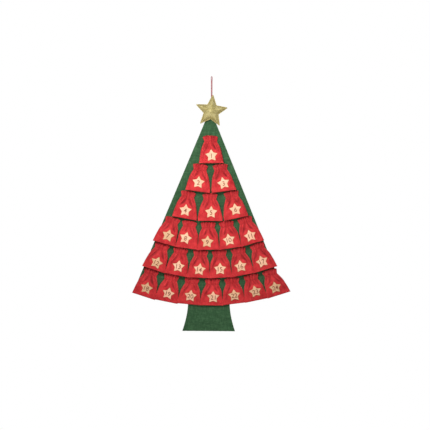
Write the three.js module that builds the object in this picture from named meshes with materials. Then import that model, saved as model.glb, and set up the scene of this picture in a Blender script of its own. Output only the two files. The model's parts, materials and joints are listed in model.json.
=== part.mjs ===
// Advent calendar tree: a felt tree that hangs on a cord loop, with a stuffed star and 24 numbered cloth bags.
// Millimetres, +Z up, the front faces -Y. The origin is where the cord loop hangs on its nail.
import * as THREE from "three";

// Clearances between neighbouring pieces
const SEAT_GAP = 0.3; // between a piece and what it is sewn on
const BAG_GAP = 1; // between two bags of one row, while both are lifted
const LIFT_GAP = 5; // between a row's hems and the frills below, while those bags are lifted

// Felt tree
const PANEL_THICKNESS = 3;
const FAN_CENTRE_Z = -65; // the bags hang radially from this point
const APEX_DROP = 94.5; // from the fan's centre down to the tip of the felt
const APEX_ROUNDING = 10;
const FRILL_OVERHANG = 3.6; // how far the lowest row's outer top corners, evenly placed, stand past the felt
const PANEL_TUCK = 18; // how far the felt's curved edge ends above the lowest bags' bottoms
const TRUNK_DROP = 143; // from the felt's curved edge, at the middle, down to the foot
const TRUNK_TOP_WIDTH = 208;
const TRUNK_FOOT_WIDTH = 264;
const TRUNK_STRAIGHT = 0.45; // share of the trunk's height at which its flare is aimed
const EDGE_SEGMENTS = 10; // on each curved stretch of the felt's edge
const FELT_LEAN = 0.43; // degrees that the felt hangs askew, its foot to the left
const NAIL_OFFSET = 7; // the nail is this far to the right of the felt's tip

// Rows of bags: the gap is from the bottoms of the row above down to this row's tops, the spacing is measured
// along the arc of the bottoms, and shift is how far a row is sewn to the right of the felt's tip.
const ROWS = [
  { gap: 0, count: 1, spacing: 133, shift: 5 },
  { gap: 5, count: 2, spacing: 133, shift: 3 },
  { gap: 3, count: 3, spacing: 131, shift: 0 },
  { gap: 4, count: 5, spacing: 110.5, shift: -9 },
  { gap: 1, count: 6, spacing: 113, shift: -3 },
  { gap: 1, count: 7, spacing: 114, shift: 6 },
];
const FIRST_ROW_TOP = 227; // radius of the first row's sewn edge about the fan's centre

// One bag: drops are measured from its sewn top edge downwards, depths from the felt forwards
const BAG_LENGTH = 140;
const FRILL_WIDTH = 76;
const NECK_WIDTH = 65;
const BAG_WIDTH = 124;
const NECK_DROP = 31;
const SHOULDER_DROP = 52;
const BELLY_DROP = 66;
const HEM_RISE = 36; // the bag's back leaves the felt this far above its bottom
const MOUTH_DEPTH = 10;
const NECK_DEPTH = 11;
const BELLY_DEPTH = 27;
const HEM_DEPTH = 3.4;
const CLOTH = 1.5;
const POCKET_FLOOR = 9; // the pocket ends this far above the bag's bottom
const SHOULDER_WIDENING = 0.33; // share of the way from the neck's width to the bag's width
const BELLY_WIDENING = 0.54;
const SKIRT_WIDENING = 0.82;
const SHOULDER_SWELLING = 0.65; // share of the way from the neck's depth to the belly's depth
const LIFT = 45; // degrees that a bag lifts under the row above
const LAST_STAND_OFF = 6; // from the felt to the backs of the lowest row's hems

// A bag's cross-section, from its right seam round the back to the left seam and the front. Each point is a
// share of the half width, and a share of the depth from the back to the front.
const SEAM_SHARE = 0.4;
const SECTION = [
  [1, SEAM_SHARE],
  [0.9, 0.08],
  [0.6, 0],
  [-0.6, 0],
  [-0.9, 0.08],
  [-1, SEAM_SHARE],
  [-0.93, 0.8],
  [-0.72, 1],
  [0.72, 1],
  [0.93, 0.8],
];

// Number stars on the bags
const LABEL_RADIUS = 33;
const LABEL_NOTCH = 18.5;
const LABEL_THICKNESS = 1.6;
const LABEL_ROUNDING = 0.15; // share of each edge that the rounding of a tip takes

// How each bag and its star are sewn on by hand, from the first bag to the last: how far the bag's top is to the
// right of its even place in the row, how far the star's middle is to the right of that place and down from the
// bag's top edge, and how many degrees the star is turned clockwise from upright.
const SEWN = [
  [-5, 1, 102, -4],
  [-3, -2, 95, 7],
  [-3, 2, 99, -15],
  [-5, -2, 100, 8],
  [-1, 4, 97, 2],
  [0, 4, 96, -10],
  [5, 5, 96, 18],
  [-2, -11, 90, 17],
  [-1, -6, 100, 5],
  [-4, -2, 97, -12],
  [-2, 1, 99, -18],
  [4, 3, 102, 25],
  [1, 5, 95, 9],
  [4, 3, 98, 8],
  [-1, -2, 96, -1],
  [-3, -6, 94, -10],
  [-4, -4, 96, -22],
  [-4, 0, 100, 17],
  [0, 2, 98, 16],
  [3, 4, 93, 8],
  [5, 8, 94, 1],
  [1, 5, 91, -7],
  [-2, 3, 89, -14],
  [-7, -5, 96, -14],
];

// Stuffed star at the top
const STAR_RADIUS = 83;
const STAR_NOTCH = 41;
const STAR_ROUNDING = 0.12;
const STAR_TURN = 6; // degrees clockwise
const STAR_SHIFT = 5; // to the right of the felt's middle
const STAR_BELOW_APEX = 12.5;
const STAR_FRONT_CROWN = 24;
const STAR_BACK_CROWN = 7;
const STAR_CLOTH = 1.2;
const FILLING_GAP = 0.5;
const CROWN_POWER = 0.7; // how the stuffed star's thickness grows from its seam to its middle
const CROWN_STEPS = [1, 0.94, 0.82, 0.62, 0.34]; // rings between the seam and the middle

// Cord loop: its route from the two sewn ends behind the star up to the nail, as the half distance between its
// halves, their height, how many degrees the loop is twisted there, and how far it stands forward.
const CORD_DIAMETER = 3;
const CORD_SIDES = 8;
const CORD_STEPS = 84;
const CORD_ROUTE = [
  [1.9, -206, 0, 0],
  [1.9, -190, 0, 0],
  [1.9, -170, 0, 0],
  [1.9, -150, 0, 0],
  [1.9, -130, 0, 0],
  [1.9, -110, 0, 0],
  [1.9, -90, 0, 0],
  [1.9, -70, 0, 0],
  [1.95, -57, 0, 0],
  [2.1, -46, 15, 0.3],
  [2.5, -37, 36, 0.8],
  [3.2, -29, 53, 1.4],
  [4.3, -21.5, 62, 2],
  [5.5, -14.5, 65, 2.5],
  [6.25, -9, 65, 2.7],
  [6.4, -4.9, 65, 2.7],
  [5.9, -2.4, 65, 2.7],
  [4.5, -0.35, 65, 2.7],
  [2.45, 1.02, 65, 2.7],
  [0, 1.5, 65, 2.7],
];

// Depths from the nail's plane: the cord lies on the felt's front, between it and the stuffed star
const PANEL_FRONT = CORD_DIAMETER / 2 + SEAT_GAP;
const BAG_BACK = PANEL_FRONT - SEAT_GAP;
const STAR_SEAM = -CORD_DIAMETER / 2 - SEAT_GAP - STAR_BACK_CROWN;

const { degToRad, lerp, inverseLerp } = THREE.MathUtils;

const felt = new THREE.MeshStandardMaterial({ color: 0x386240, roughness: 0.95, metalness: 0 });
const redCloth = new THREE.MeshStandardMaterial({ color: 0xd63034, roughness: 0.85, metalness: 0 });
const goldCloth = new THREE.MeshStandardMaterial({ color: 0xb9a873, roughness: 0.55, metalness: 0.3 });
const creamCloth = new THREE.MeshStandardMaterial({ color: 0xeedeb6, roughness: 0.6, metalness: 0.1 });
const wadding = new THREE.MeshStandardMaterial({ color: 0xf4f2ec, roughness: 1, metalness: 0 });
const redCord = new THREE.MeshStandardMaterial({ color: 0xbe3040, roughness: 0.8, metalness: 0 });

const tree = new THREE.Group();
const felted = new THREE.Group(); // the felt and all that is sewn on it
felted.position.x = -NAIL_OFFSET;
tree.add(felted);

function addMesh(parent, name, geometry, material) {
  const mesh = new THREE.Mesh(geometry, material);
  mesh.name = name;
  parent.add(mesh);
  return mesh;
}

// A closed surface over rings of points, with a fan to a middle point at each end. The rings run
// anticlockwise, seen against the direction in which the outer surface goes from ring to ring.
function skin(firstMiddle, rings, lastMiddle) {
  const count = rings[0].length;
  const points = [firstMiddle, ...rings.flat(), lastMiddle];
  const index = [];
  const at = (ring, k) => 1 + ring * count + (k % count);
  for (let k = 0; k < count; k++) {
    index.push(0, at(0, k + 1), at(0, k));
    for (let ring = 0; ring + 1 < rings.length; ring++) {
      index.push(at(ring, k), at(ring, k + 1), at(ring + 1, k + 1));
      index.push(at(ring, k), at(ring + 1, k + 1), at(ring + 1, k));
    }
    index.push(points.length - 1, at(rings.length - 1, k), at(rings.length - 1, k + 1));
  }
  const geometry = new THREE.BufferGeometry().setFromPoints(points);
  geometry.setIndex(index);
  geometry.computeVertexNormals();
  return geometry;
}

// A five-pointed star with rounded tips, its first tip up, as a flat shape round its middle.
function starShape(radius, notch, rounding) {
  const corner = (k) => {
    const reach = k % 2 ? notch : radius;
    const angle = Math.PI / 2 - (k * Math.PI) / 5;
    return new THREE.Vector2(reach * Math.cos(angle), reach * Math.sin(angle));
  };
  const shape = new THREE.Shape();
  for (let k = 0; k < 10; k += 2) {
    const before = corner(k).lerp(corner(k + 9), rounding);
    const after = corner(k).lerp(corner(k + 1), rounding);
    if (k === 0) {
      shape.moveTo(before.x, before.y);
    } else {
      shape.lineTo(before.x, before.y);
    }
    shape.quadraticCurveTo(corner(k).x, corner(k).y, after.x, after.y);
    shape.lineTo(corner(k + 1).x, corner(k + 1).y);
  }
  shape.closePath();
  return shape;
}

// Where the rows of bags lie, as radii about the fan's centre
const LAST_ROW = ROWS.length - 1;
const rowTop = (row) => (row ? rowBottom(row - 1) + ROWS[row].gap : FIRST_ROW_TOP);
const rowBottom = (row) => rowTop(row) + BAG_LENGTH;
const rowStep = (row) => ROWS[row].spacing / rowBottom(row);
const PANEL_BOTTOM = rowBottom(LAST_ROW) - PANEL_TUCK;

// The felt's edges run from its tip past the top corners of the lowest row's outermost bags.
function panelSlope() {
  const angle = (rowStep(LAST_ROW) * (ROWS[LAST_ROW].count - 1)) / 2;
  const across = rowTop(LAST_ROW) * Math.sin(angle) + (FRILL_WIDTH / 2) * Math.cos(angle);
  const down = rowTop(LAST_ROW) * Math.cos(angle) - (FRILL_WIDTH / 2) * Math.sin(angle);
  return (across - FRILL_OVERHANG) / (down - APEX_DROP);
}

function treePanel() {
  const slope = Math.atan(panelSlope());
  const corner = slope - Math.asin((APEX_DROP / PANEL_BOTTOM) * Math.sin(slope));
  const apexZ = FAN_CENTRE_Z - APEX_DROP;
  const trunkTop = TRUNK_TOP_WIDTH / 2;
  const trunkFoot = TRUNK_FOOT_WIDTH / 2;
  const trunkJoin = Math.asin(trunkTop / PANEL_BOTTOM);
  const joinZ = FAN_CENTRE_Z - PANEL_BOTTOM * Math.cos(trunkJoin);
  const footZ = FAN_CENTRE_Z - PANEL_BOTTOM - TRUNK_DROP;
  const flareZ = lerp(joinZ, footZ, TRUNK_STRAIGHT);
  const down = -Math.PI / 2;
  const roundX = APEX_ROUNDING * Math.sin(slope);
  const roundZ = apexZ - APEX_ROUNDING * Math.cos(slope);

  const outline = new THREE.Shape();
  outline.moveTo(roundX, roundZ);
  outline.quadraticCurveTo(0, apexZ, -roundX, roundZ);
  outline.absarc(0, FAN_CENTRE_Z, PANEL_BOTTOM, down - corner, down - trunkJoin, false);
  outline.quadraticCurveTo(-trunkTop, flareZ, -trunkFoot, footZ);
  outline.lineTo(trunkFoot, footZ);
  outline.quadraticCurveTo(trunkTop, flareZ, trunkTop, joinZ);
  outline.absarc(0, FAN_CENTRE_Z, PANEL_BOTTOM, down + trunkJoin, down + corner, false);
  outline.closePath();

  const geometry = new THREE.ExtrudeGeometry(outline, {
    depth: PANEL_THICKNESS,
    bevelEnabled: false,
    curveSegments: EDGE_SEGMENTS,
  });
  geometry.translate(0, -apexZ, 0);
  const panel = addMesh(felted, "tree_panel", geometry, felt);
  panel.rotation.set(Math.PI / 2, 0, -degToRad(FELT_LEAN));
  panel.position.set(0, PANEL_FRONT + PANEL_THICKNESS, apexZ);
}

// How far a row's hems hang in front of the felt, to clear the frills below when those bags are lifted
function standOff(row) {
  if (row === LAST_ROW) {
    return LAST_STAND_OFF;
  }
  return MOUTH_DEPTH / Math.cos(degToRad(LIFT)) + LIFT_GAP;
}

// From the belly down to the hem, a bag's front is one flat slope.
function slopeDepth(row, drop) {
  return lerp(BELLY_DEPTH, standOff(row) + HEM_DEPTH, inverseLerp(BELLY_DROP, BAG_LENGTH, drop));
}

// A bag's stations from its top edge down: drop, width, and the depths of its back and front.
function bagStations(row) {
  const widened = (share) => lerp(NECK_WIDTH, BAG_WIDTH, share);
  const skirtDrop = BAG_LENGTH - HEM_RISE;
  const shoulderDepth = lerp(NECK_DEPTH, BELLY_DEPTH, SHOULDER_SWELLING);
  return [
    { drop: 0, width: FRILL_WIDTH, back: 0, front: MOUTH_DEPTH },
    { drop: NECK_DROP, width: NECK_WIDTH, back: 0, front: NECK_DEPTH },
    { drop: SHOULDER_DROP, width: widened(SHOULDER_WIDENING), back: 0, front: shoulderDepth },
    { drop: BELLY_DROP, width: widened(BELLY_WIDENING), back: 0, front: BELLY_DEPTH },
    { drop: skirtDrop, width: widened(SKIRT_WIDENING), back: 0, front: slopeDepth(row, skirtDrop) },
    { drop: BAG_LENGTH, width: BAG_WIDTH, back: standOff(row), front: slopeDepth(row, BAG_LENGTH) },
  ];
}

// The pocket's lowest station lies a little above the bag's bottom, between its last two stations.
function pocketStations(row) {
  const stations = bagStations(row);
  const [skirt, hem] = stations.slice(-2);
  const share = inverseLerp(skirt.drop, hem.drop, BAG_LENGTH - POCKET_FLOOR);
  const floor = {};
  for (const key of Object.keys(hem)) {
    floor[key] = lerp(skirt[key], hem[key], share);
  }
  return [...stations.slice(0, -1), floor];
}

// Half of a bag's share of its row. Lifted bags come nearer to each other, because they fan out downwards.
function halfRoom(row, { drop, back, front }) {
  const lift = degToRad(LIFT);
  const liftedDrop = drop * Math.cos(lift) - lerp(back, front, SEAM_SHARE) * Math.sin(lift);
  return (rowTop(row) + liftedDrop) * Math.tan(rowStep(row) / 2) - BAG_GAP / 2;
}

// A bag whose top is sewn on to one side leans back towards its even place, which its bottom reaches.
const lean = (aside, drop) => lerp(aside, 0, drop / BAG_LENGTH);

// How far a bag reaches to one side of its middle line, -1 or 1. Towards a neighbour it keeps to its own share.
function sideReach(row, place, aside, station, side) {
  const outermost = place === (side < 0 ? 0 : ROWS[row].count - 1);
  const room = halfRoom(row, station) - side * lean(aside, station.drop);
  return outermost ? station.width / 2 : Math.min(station.width / 2, room);
}

// A ring round a bag at a station, drawn in by an inset.
function bagRing(row, place, aside, station, inset) {
  const { drop, back, front } = station;
  const [left, right] = [-1, 1].map((side) => sideReach(row, place, aside, station, side) - inset);
  return SECTION.map(([across, forward]) => {
    const depth = lerp(back + inset, front - inset, forward);
    return new THREE.Vector3(lean(aside, drop) + across * (across < 0 ? left : right), -depth, -drop);
  });
}

function bagShell(row, place, aside) {
  const outer = bagStations(row);
  const inner = pocketStations(row);
  const middle = ({ drop, back, front }) => new THREE.Vector3(lean(aside, drop), -(back + front) / 2, -drop);
  const rings = [
    ...outer.map((station) => bagRing(row, place, aside, station, 0)).reverse(),
    ...inner.map((station) => bagRing(row, place, aside, station, CLOTH)),
  ];
  return skin(middle(outer.at(-1)), rings, middle(inner.at(-1)));
}

// A flat star on the sloping front of a bag. Its turn is measured from upright, as the whole tree hangs.
function addNumberStar(bag, name, row, [across, drop, turn]) {
  const shape = starShape(LABEL_RADIUS, LABEL_NOTCH, LABEL_ROUNDING);
  const geometry = new THREE.ExtrudeGeometry(shape, {
    depth: LABEL_THICKNESS,
    bevelEnabled: false,
    curveSegments: 2,
  });
  const fall = slopeDepth(row, BELLY_DROP) - slopeDepth(row, BAG_LENGTH);
  const tilt = Math.atan(fall / (BAG_LENGTH - BELLY_DROP));
  const star = addMesh(bag, name, geometry, creamCloth);
  star.rotation.set(Math.PI / 2 + tilt, 0, bag.rotation.y - degToRad(turn));
  star.position.set(across, -slopeDepth(row, drop) - SEAT_GAP / Math.cos(tilt), -drop);
}

function bags() {
  let number = 1;
  ROWS.forEach(({ count, shift }, row) => {
    for (let place = 0; place < count; place++) {
      const angle = (place - (count - 1) / 2) * rowStep(row);
      const label = String(number).padStart(2, "0");
      const [aside, ...starPlace] = SEWN[number - 1];
      const across = shift + rowTop(row) * Math.sin(angle);
      const bag = new THREE.Group();
      bag.position.set(across, BAG_BACK, FAN_CENTRE_Z - rowTop(row) * Math.cos(angle));
      bag.rotation.y = -angle;
      addMesh(bag, `bag_${label}`, bagShell(row, place, aside), redCloth);
      addNumberStar(bag, `number_star_${label}`, row, starPlace);
      felted.add(bag);
      number++;
    }
  });
}

// Rings of a stuffed star's front (side -1) or back (side 1), from its seam to its middle.
function crownRings(side, crown, inset, seamY) {
  const outline = starShape(STAR_RADIUS, STAR_NOTCH, STAR_ROUNDING).getPoints(2).slice(0, -1);
  const shrink = 1 - inset / STAR_NOTCH;
  return CROWN_STEPS.map((step) => {
    const y = seamY + side * (crown - inset) * (1 - step) ** CROWN_POWER;
    return outline.map(
      (point) => new THREE.Vector3(point.x * shrink * step, y, point.y * shrink * step),
    );
  });
}

function stuffedStar() {
  const star = new THREE.Group();
  star.position.set(STAR_SHIFT, STAR_SEAM, FAN_CENTRE_Z - APEX_DROP - STAR_BELOW_APEX);
  star.rotation.y = degToRad(STAR_TURN);
  const middle = (side, crown, seamY) => new THREE.Vector3(0, seamY + side * crown, 0);

  const cover = (side, crown) => {
    const seamY = (side * SEAT_GAP) / 2;
    const outer = crownRings(side, crown, 0, seamY);
    const inner = crownRings(side, crown, STAR_CLOTH, seamY);
    const outerMiddle = middle(side, crown, seamY);
    const innerMiddle = middle(side, crown - STAR_CLOTH, seamY);
    return side < 0
      ? skin(outerMiddle, [...outer.reverse(), ...inner], innerMiddle)
      : skin(innerMiddle, [...inner.reverse(), ...outer], outerMiddle);
  };
  addMesh(star, "star_front_cover", cover(-1, STAR_FRONT_CROWN), goldCloth);
  addMesh(star, "star_back_cover", cover(1, STAR_BACK_CROWN), goldCloth);

  const inset = STAR_CLOTH + FILLING_GAP;
  const front = crownRings(-1, STAR_FRONT_CROWN, inset, 0).reverse();
  const back = crownRings(1, STAR_BACK_CROWN, inset, 0).slice(1);
  const filling = skin(
    middle(-1, STAR_FRONT_CROWN - inset, 0),
    [...front, ...back],
    middle(1, STAR_BACK_CROWN - inset, 0),
  );
  addMesh(star, "star_filling", filling, wadding);
  felted.add(star);
}

function hangingLoop() {
  const half = (side) =>
    CORD_ROUTE.map(([aside, height, twist, forward]) => {
      const across = side * aside * Math.cos(degToRad(twist));
      const ahead = side * aside * Math.sin(degToRad(twist)) + forward;
      return new THREE.Vector3(across, -ahead, height);
    });
  const route = new THREE.CatmullRomCurve3([...half(-1), ...half(1).slice(0, -1).reverse()]);
  const section = new THREE.Shape(
    Array.from({ length: CORD_SIDES }, (_, k) => {
      const angle = (2 * Math.PI * k) / CORD_SIDES;
      return new THREE.Vector2(Math.cos(angle), Math.sin(angle)).multiplyScalar(CORD_DIAMETER / 2);
    }),
  );
  const geometry = new THREE.ExtrudeGeometry(section, { steps: CORD_STEPS, extrudePath: route });
  addMesh(tree, "hanging_loop", geometry, redCord);
}

treePanel();
bags();
stuffedStar();
hangingLoop();

export default tree;
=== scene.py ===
"""The looks of the advent calendar tree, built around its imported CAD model. Metres, +Z up, the front faces -Y."""
import json
import math

import bpy
import numpy as np
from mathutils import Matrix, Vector
from mathutils.geometry import delaunay_2d_cdt


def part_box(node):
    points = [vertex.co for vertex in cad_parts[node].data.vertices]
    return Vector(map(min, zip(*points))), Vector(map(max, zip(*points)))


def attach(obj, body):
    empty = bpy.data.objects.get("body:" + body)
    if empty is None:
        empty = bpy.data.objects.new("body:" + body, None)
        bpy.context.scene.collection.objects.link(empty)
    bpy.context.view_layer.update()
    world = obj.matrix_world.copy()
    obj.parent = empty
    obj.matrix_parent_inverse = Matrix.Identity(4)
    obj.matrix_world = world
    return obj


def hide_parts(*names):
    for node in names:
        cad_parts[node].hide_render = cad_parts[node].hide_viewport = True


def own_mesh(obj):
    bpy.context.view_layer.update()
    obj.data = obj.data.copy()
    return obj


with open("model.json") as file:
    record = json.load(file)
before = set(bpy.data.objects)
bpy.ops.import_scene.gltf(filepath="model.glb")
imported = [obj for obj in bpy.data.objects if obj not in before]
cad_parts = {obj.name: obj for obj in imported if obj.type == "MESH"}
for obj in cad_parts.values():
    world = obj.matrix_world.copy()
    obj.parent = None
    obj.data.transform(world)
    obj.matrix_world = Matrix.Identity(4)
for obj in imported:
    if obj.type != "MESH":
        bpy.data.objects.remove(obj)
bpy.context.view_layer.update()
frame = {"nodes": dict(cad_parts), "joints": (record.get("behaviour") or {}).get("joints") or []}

MM = 0.001
NODES = frame["nodes"]
JOINTS = {joint["child"]: joint for joint in frame["joints"]}

# The photograph's frame at the object: 430 pixels of 5 mm
FRAME_WIDTH = 2.15
VIEW_MIDDLE = Vector((0.0165, 0, -0.69))
CAMERA_DISTANCE = 6.0
SENSOR_WIDTH = 36

# Each light's name, place, width and height, spread in degrees and power in watts
LIGHTS = [
    ("key_light", (-0.45, -1.45, 0.35), (0.5, 0.5), 180, 27),
    ("front_light", (0.04, -0.95, -0.7), (0.25, 1.2), 100, 1.4),
    ("fill_light", (2.6, -3.0, 0.2), (2.4, 2.4), 180, 15),
    ("rear_light", (0.6, 3.4, 1.6), (2.4, 2.4), 180, 85),
]
LIGHTS_AIM = Vector((0, 0, -0.7))
WORLD_LIGHT = 0.17
FLOOR_HEIGHT = -2.2
FLOOR_REACH = 6
FLOOR_BACK = 2.2

# Cord loop, with its route as in part.mjs, from the two sewn ends up to the nail: the half distance between its
# halves and their height in millimetres, the degrees that the loop is twisted there, and how far it stands forward
CORD_DIAMETER = 3 * MM
CORD_STRANDS = 3
CORD_LAY = 9 * MM  # the length of one full turn of its strands
CORD_SIDES = 18
CORD_STEP = 0.8 * MM
CORD_ROUTE = [
    (1.9, -206, 0, 0), *((1.9, height, 0, 0) for height in range(-190, -69, 20)), (1.95, -57, 0, 0),
    (2.1, -46, 15, 0.3), (2.5, -37, 36, 0.8), (3.2, -29, 53, 1.4), (4.3, -21.5, 62, 2), (5.5, -14.5, 65, 2.5),
    (6.25, -9, 65, 2.7), (6.4, -4.9, 65, 2.7), (5.9, -2.4, 65, 2.7), (4.5, -0.35, 65, 2.7), (2.45, 1.02, 65, 2.7),
    (0, 1.5, 65, 2.7),
]

# Felt
FELT_CELL = 9 * MM
FELT_THICKNESS = 3 * MM
FELT_INSET = 0.2 * MM  # of each face from its CAD face
FELT_WAVE = 1.4 * MM
FELT_FRAY = 0.3 * MM
NET_MARGIN = 0.55  # of a cell, between an outline and the net of points inside it

# Bags: drops are measured from the sewn top edge, depths forwards from the felt
BAG_STATIONS = np.array([0, 31, 52, 66, 104, 140]) * MM
BAG_LENGTH = 140 * MM
BAG_HALF_WIDTH = 62 * MM
ROW_COUNTS = (1, 2, 3, 5, 6, 7)
LOWER_HEMS = {18: 5, 19: 1, 20: -4, 21: -4, 22: -6, 23: -5, 24: -2}  # millimetres
HEM_GAP = -1.2 * MM  # between the hems of two hanging neighbours, which overlap a little
HEM_LEAN = 2 * MM  # how far a hem's left corner hangs forward, and its right corner back
HEM_FOLD = 1.2 * MM  # the radius of a hem's edge
NECK_PINCH = 1.5 * MM
CINCH_DEPTH = 1.6 * MM  # how far its stitches draw the neck's front in
CINCH_REACH = 4.5 * MM
RIM_FLUTES = 2 * MM
RIM_DROOP = 7 * MM  # how far the frill's top corners hang down
NECK_DROP = 31 * MM
BELLY_DROP = 66 * MM
POCKET_FLOOR = 131 * MM
RING_HALF = 44  # faces across a bag's front, and as many across its back
LEVELS = 70  # faces from its rim to its hem
CLOTH = 0.9 * MM
WEAVE_THREADS = 1700  # a metre
SEAM_SHARE = 0.4  # where the side seams lie, from the back (0) to the front (1)
PROFILE_SOFTNESS = 5 * MM
FRONT_SHAPE = (5, 0.5)
BACK_SHAPE = (8, 0.5)
FLAT_UNDER_STAR = 31 * MM
FLAT_FADE = 9 * MM
NECK_STITCH = 3.4 * MM
NECK_THREAD = 0.8 * MM
SEAM_DROP = 6 * MM  # of the stitches that hold a bag, below its top edge
SEAM_STITCH = 4 * MM
SEAM_THREAD = 0.9 * MM
THREAD_SIDES = 6

# Number stars
LABEL_RADIUS = 33 * MM
LABEL_NOTCH = 18.7 * MM
LABEL_ROUNDING = 0.14
LABEL_EDGE = 1.1 * MM  # thickness at the edge
LABEL_CROWN = 0.8 * MM  # how much thicker the middle is
LABEL_SEAM = 0.86  # where its stitches run, as a share of its outline
LABEL_STITCH = 2.6 * MM
LABEL_THREAD = 0.6 * MM
TAN_STARS = {7: 0.45, 9: 0.4, 12: 0.45, 16: 0.15, 18: 0.4, 22: 0.3, 23: 0.35, 24: 0.45}  # how much each of these stars is darkened towards tan
DIGIT_HEIGHT = 22 * MM
DIGIT_RELIEF = 0.25 * MM
DIGIT_DROP = 0.8 * MM  # of a number's middle, below the star's

# Stuffed star
STAR_CENTRE = Vector((-0.002, -0.0088, -0.172))
STAR_RADIUS = 87 * MM
STAR_NOTCH = 41 * MM
STAR_ROUNDING = 0.15
PUFF_RADIUS = 78 * MM  # the seam's tips and notches, inside a flat border
PUFF_NOTCH = 36.8 * MM
STAR_EDGE_POINTS = 14
STAR_TURN = math.radians(6)
STAR_CELL = 2.6 * MM
STAR_FRONT_CROWN = 24 * MM
STAR_BACK_CROWN = 7 * MM
SLACK_RISE = 9 * MM  # of its cloth before it is inflated
INFLATE_FRAMES = 26


def srgb(red, green, blue):
    def linear(value):
        value /= 255
        return value / 12.92 if value <= 0.04045 else ((value + 0.055) / 1.055) ** 2.4

    return (linear(red), linear(green), linear(blue), 1)


def new_object(name, mesh):
    obj = bpy.data.objects.new(name, mesh)
    bpy.context.scene.collection.objects.link(obj)
    return obj


def smooth_object(name, points, faces, material):
    mesh = bpy.data.meshes.new(name)
    mesh.from_pydata([tuple(map(float, point)) for point in points], [], faces)
    mesh.materials.append(material)
    mesh.shade_smooth()
    mesh.update()
    return new_object(name, mesh)


def waves(rng, length, count=7):
    """A smooth random surface of two variables with values near -1 to 1, and features of about that length."""
    directions = rng.uniform(0, 2 * math.pi, count)
    numbers = rng.uniform(0.6, 1.6, count) * 2 * math.pi / length
    phases = rng.uniform(0, 2 * math.pi, count)
    weights = rng.uniform(0.5, 1, count)
    weights /= weights.sum()

    def surface(a, b):
        total = 0
        for direction, number, phase, weight in zip(directions, numbers, phases, weights):
            along = a * math.cos(direction) + b * math.sin(direction)
            total = total + weight * np.sin(number * along + phase)
        return 1.6 * total

    return surface


def step_between(low, high, value):
    share = np.clip((value - low) / (high - low), 0, 1)
    return share * share * (3 - 2 * share)


def positions(mesh):
    flat = np.zeros(len(mesh.vertices) * 3)
    mesh.vertices.foreach_get("co", flat)
    return flat.reshape(-1, 3)


def set_values(mesh, name, values):
    mesh.attributes.new(name, "FLOAT", "POINT").data.foreach_set("value", values)


def distances_along(line):
    return np.concatenate([[0], np.cumsum(np.linalg.norm(np.diff(line, axis=0), axis=1))])


def points_along(line, where):
    """The points at those distances from a line's start."""
    along = distances_along(line)
    return np.column_stack([np.interp(where, along, line[:, axis]) for axis in range(line.shape[1])])


def units(vectors):
    return vectors / np.linalg.norm(vectors, axis=-1, keepdims=True)


def ring_faces(rings, count, first=0, flip=False):
    """The faces between neighbouring rings of that many points, which follow each other from the first point."""
    faces = []
    for start in range(first, first + (rings - 1) * count, count):
        for k in range(count):
            a, b = start + k, start + (k + 1) % count
            if flip:
                a, b = b, a
            faces.append((a, b, b + count, a + count))
    return faces


# Camera, light and floor
def set_up_view():
    camera = bpy.data.cameras.new("camera")
    camera.sensor_width = SENSOR_WIDTH
    camera.lens = SENSOR_WIDTH * CAMERA_DISTANCE / FRAME_WIDTH
    camera.clip_end = 60
    holder = new_object("camera", camera)
    holder.location = VIEW_MIDDLE + Vector((0, -CAMERA_DISTANCE, 0))
    holder.rotation_euler = (math.pi / 2, 0, 0)
    bpy.context.scene.camera = holder

    bpy.context.scene.view_settings.view_transform = "Standard"
    world = bpy.data.worlds.new("studio")
    bpy.context.scene.world = world
    world.use_nodes = True
    tree = world.node_tree
    tree.nodes.clear()
    seen = add_node(tree, "ShaderNodeBackground", {"Color": (1, 1, 1, 1), "Strength": 1.0})
    lit = add_node(tree, "ShaderNodeBackground", {"Color": (1, 0.99, 0.98, 1), "Strength": WORLD_LIGHT})
    path = add_node(tree, "ShaderNodeLightPath")
    mixed = add_node(tree, "ShaderNodeMixShader", {
        0: path.outputs["Is Camera Ray"], 1: lit.outputs[0], 2: seen.outputs[0],
    })
    add_node(tree, "ShaderNodeOutputWorld", {"Surface": mixed.outputs[0]})

    for name, place, size, spread, energy in LIGHTS:
        light = bpy.data.lights.new(name, "AREA")
        light.shape = "RECTANGLE"
        light.size, light.size_y = size
        light.spread = math.radians(spread)
        light.energy = energy
        lamp = new_object(name, light)
        lamp.visible_camera = False
        lamp.location = place
        lamp.rotation_euler = (LIGHTS_AIM - lamp.location).to_track_quat("-Z", "Y").to_euler()

    floor_mesh = bpy.data.meshes.new("floor")
    corners = [(-1, -FLOOR_REACH), (1, -FLOOR_REACH), (1, FLOOR_BACK), (-1, FLOOR_BACK)]
    floor_mesh.from_pydata([(side * FLOOR_REACH, y, FLOOR_HEIGHT) for side, y in corners], [], [(0, 1, 2, 3)])
    floor = new_object("floor", floor_mesh)
    pale = bpy.data.materials.new("pale_floor")
    pale.use_nodes = True
    shader = pale.node_tree.nodes["Principled BSDF"]
    shader.inputs["Base Color"].default_value = srgb(236, 235, 232)
    shader.inputs["Roughness"].default_value = 0.8
    floor_mesh.materials.append(pale)


# Materials
def add_node(tree, kind, inputs=None, **settings):
    node = tree.nodes.new(kind)
    for key, value in settings.items():
        setattr(node, key, value)
    for key, value in (inputs or {}).items():
        if isinstance(value, bpy.types.NodeSocket):
            tree.links.new(value, node.inputs[key])
        else:
            node.inputs[key].default_value = value
    return node


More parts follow.
